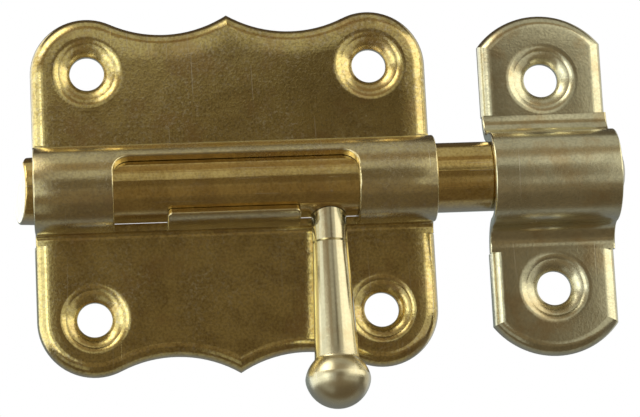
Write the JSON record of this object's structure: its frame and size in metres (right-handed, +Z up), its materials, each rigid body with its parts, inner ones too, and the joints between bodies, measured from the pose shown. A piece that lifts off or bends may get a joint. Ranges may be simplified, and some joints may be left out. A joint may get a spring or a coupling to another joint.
{
  "type": "slide bolt with keeper",
  "caption": "Pressed brass-plated slide bolt with scalloped backplate, round rod, turned drop handle and separate keeper.",
  "frame": {"origin": "the middle of the four screw holes of the backplate, on the plane of its back", "axes": "+X along the rod from the plate to the keeper, +Y through the door away from the handle, +Z up, square to the rod in the plane of the plate"},
  "size_m": [0.0874, 0.0125, 0.0592],
  "materials": {
    "plate_brass": "bright brass plating on pressed steel, finely scuffed",
    "rod_brass": "bright brass plating on drawn steel rod, fine lengthwise draw lines",
    "handle_brass": "polished brass plating on turned steel",
    "keeper_brass": "bright brass plating on pressed steel, a little paler than the plate"
  },
  "bodies": {
    "plate": {"backplate": "plate_brass", "keeper": "keeper_brass"},
    "bolt": {"bolt_rod": "rod_brass"},
    "handle": {"handle_stud": "handle_brass", "handle_grip": "handle_brass"}
  },
  "joints": [
    {"name": "bolt_slide", "type": "slide", "parent": "plate", "child": "bolt", "axis": [1, 0, 0], "range_m": [-0.0015, 0.0016]},
    {"name": "handle_turn", "type": "hinge", "parent": "bolt", "child": "handle", "pos_m": [0.0131, -0.0054, 0], "axis": [-1, 0, 0], "range_deg": [0, 85]}
  ]
}
